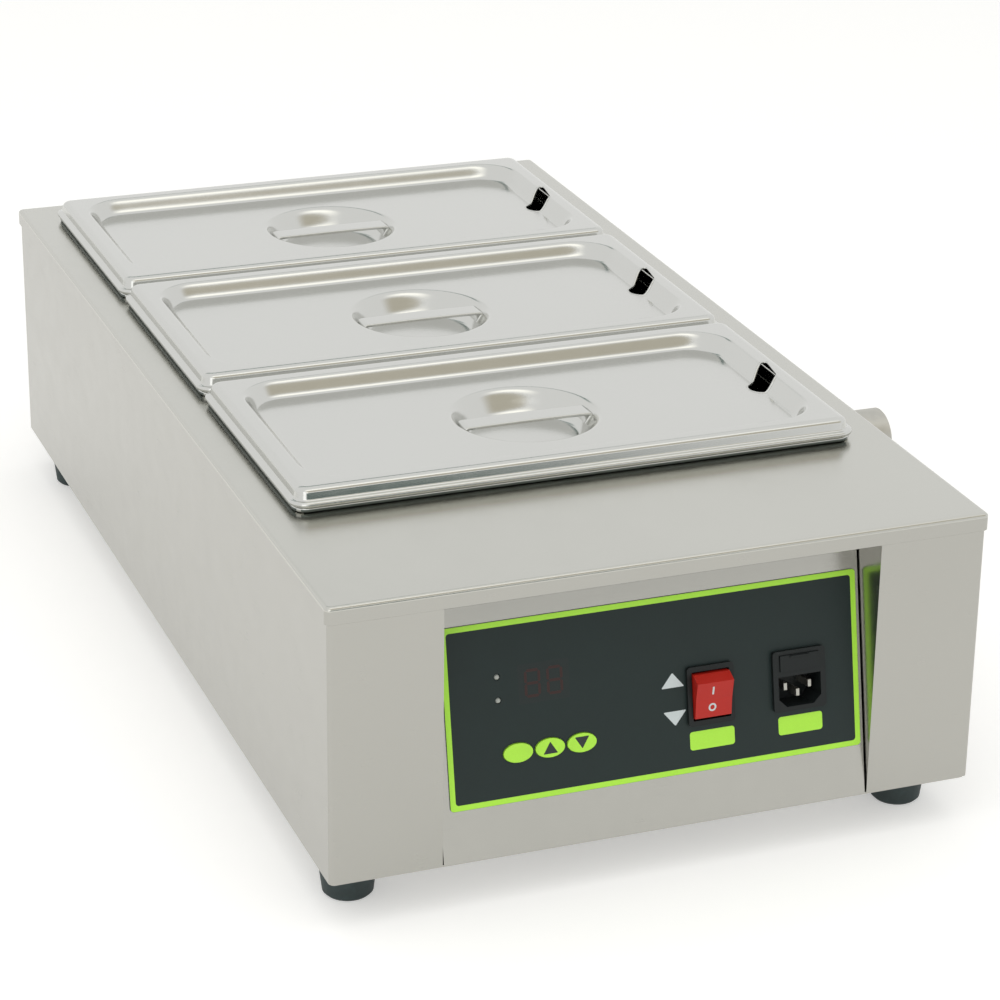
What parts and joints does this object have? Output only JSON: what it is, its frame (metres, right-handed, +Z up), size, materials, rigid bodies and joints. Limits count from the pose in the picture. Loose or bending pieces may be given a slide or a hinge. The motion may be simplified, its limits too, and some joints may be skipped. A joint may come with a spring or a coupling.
{
  "type": "electric chocolate melting pot",
  "caption": "Long low stainless steel food warmer with lift-out rectangular pans in a row, a strap-handled lid on each, a sloping front control panel, rubber feet and a capped side stub",
  "frame": {"origin": "On the floor, under the middle of the part's overall box, which takes in the side stub and the rear screw heads.", "axes": "+X right as seen from the front, +Y toward the rear, +Z up. The control panel faces -Y."},
  "size_m": [0.4004, 0.6702, 0.195],
  "materials": {
    "brushed_steel": "brushed stainless sheet",
    "drawn_steel": "drawn and polished stainless sheet",
    "plated_steel": "bright plated fasteners and fittings",
    "heater_steel": "dulled stainless tube",
    "foot_rubber": "moulded black rubber",
    "seal_rubber": "soft black seal",
    "overlay_film": "printed satin film, charcoal with a lime border",
    "window_film": "smoked glossy window",
    "black_plastic": "moulded black housing",
    "red_plastic": "translucent red rocker",
    "lime_key": "lime key",
    "dark_key": "lime key with a black mark",
    "lamp_plastic": "clear unlit lamp",
    "brass": "bare brass",
    "board_green": "coated circuit board",
    "part_blue": "moulded blue case",
    "part_green": "moulded green terminal block",
    "core_steel": "varnished laminated core",
    "fuse_ceramic": "white ceramic tube",
    "wire_brown": "brown wire covering",
    "wire_white": "white sleeved wire",
    "wire_black": "black wire covering",
    "wire_earth": "yellow and green wire covering"
  },
  "bodies": {
    "chassis": {"top_cover": "brushed_steel", "body_shell": "brushed_steel", "bottom_plate": "brushed_steel", "body_screws": "plated_steel", "cover_screws": "plated_steel", "feet": "foot_rubber", "foot_screws": "plated_steel", "foot_nuts": "plated_steel", "control_panel": "brushed_steel", "panel_overlay": "overlay_film", "display_window": "window_film", "display_module": "black_plastic", "status_lamps": "lamp_plastic", "control_board": "board_green", "board_spacers": "plated_steel", "board_nuts": "plated_steel", "tact_switches": "black_plastic", "board_relay": "part_blue", "board_transformer": "core_steel", "board_terminals": "part_green", "board_capacitor": "part_blue", "switch_housing": "black_plastic", "switch_blades": "brass", "inlet_body": "black_plastic", "inlet_pins": "plated_steel", "water_tank": "drawn_steel", "tank_nuts": "plated_steel", "heating_element": "heater_steel", "element_nuts": "plated_steel", "element_seals": "seal_rubber", "element_rests": "drawn_steel", "temp_probe": "plated_steel", "probe_gland": "plated_steel", "cutout": "black_plastic", "cutout_screws": "plated_steel", "earth_stud": "brass", "stub_pipe": "plated_steel", "stub_seal": "seal_rubber", "stub_nut": "plated_steel", "stub_collar": "seal_rubber", "mains_wires": "wire_brown", "heater_wires": "wire_white", "probe_wires": "wire_black", "earth_wire": "wire_earth"},
    "pan_front": {"pan_front": "drawn_steel"},
    "lid_front": {"lid_front": "drawn_steel", "handle_front": "drawn_steel"},
    "pan_middle": {"pan_middle": "drawn_steel"},
    "lid_middle": {"lid_middle": "drawn_steel", "handle_middle": "drawn_steel"},
    "pan_rear": {"pan_rear": "drawn_steel"},
    "lid_rear": {"lid_rear": "drawn_steel", "handle_rear": "drawn_steel"},
    "rocker": {"rocker": "red_plastic"},
    "key_set": {"key_set": "lime_key"},
    "key_up": {"key_up": "dark_key"},
    "key_down": {"key_down": "dark_key"},
    "fuse_drawer": {"fuse_drawer": "black_plastic", "fuse": "fuse_ceramic"},
    "stub_cap": {"stub_cap": "plated_steel"}
  },
  "joints": [
    {"name": "pan_front_lift", "type": "slide", "parent": "chassis", "child": "pan_front", "axis": [0, 0, 1], "range_m": [0, 0.14]},
    {"name": "lid_front_lift", "type": "slide", "parent": "pan_front", "child": "lid_front", "axis": [0, 0, 1], "range_m": [0, 0.06]},
    {"name": "pan_middle_lift", "type": "slide", "parent": "chassis", "child": "pan_middle", "axis": [0, 0, 1], "range_m": [0, 0.14]},
    {"name": "lid_middle_lift", "type": "slide", "parent": "pan_middle", "child": "lid_middle", "axis": [0, 0, 1], "range_m": [0, 0.06]},
    {"name": "pan_rear_lift", "type": "slide", "parent": "chassis", "child": "pan_rear", "axis": [0, 0, 1], "range_m": [0, 0.14]},
    {"name": "lid_rear_lift", "type": "slide", "parent": "pan_rear", "child": "lid_rear", "axis": [0, 0, 1], "range_m": [0, 0.06]},
    {"name": "rocker_tip", "type": "hinge", "parent": "chassis", "child": "rocker", "pos_m": [0.01405, -0.32064, 0.09486], "axis": [1, 0, 0], "range_deg": [-30, 0]},
    {"name": "key_set_press", "type": "slide", "parent": "chassis", "child": "key_set", "axis": [0, 0.9806, -0.1961], "range_m": [0, 0.0005], "stiffness_N_per_m": 400},
    {"name": "key_up_press", "type": "slide", "parent": "chassis", "child": "key_up", "axis": [0, 0.9806, -0.1961], "range_m": [0, 0.0005], "stiffness_N_per_m": 400},
    {"name": "key_down_press", "type": "slide", "parent": "chassis", "child": "key_down", "axis": [0, 0.9806, -0.1961], "range_m": [0, 0.0005], "stiffness_N_per_m": 400},
    {"name": "fuse_drawer_slide", "type": "slide", "parent": "chassis", "child": "fuse_drawer", "axis": [0, -0.9806, 0.1961], "range_m": [0, 0.018]},
    {"name": "stub_cap_off", "type": "slide", "parent": "chassis", "child": "stub_cap", "axis": [1, 0, 0], "range_m": [0, 0.03]}
  ]
}
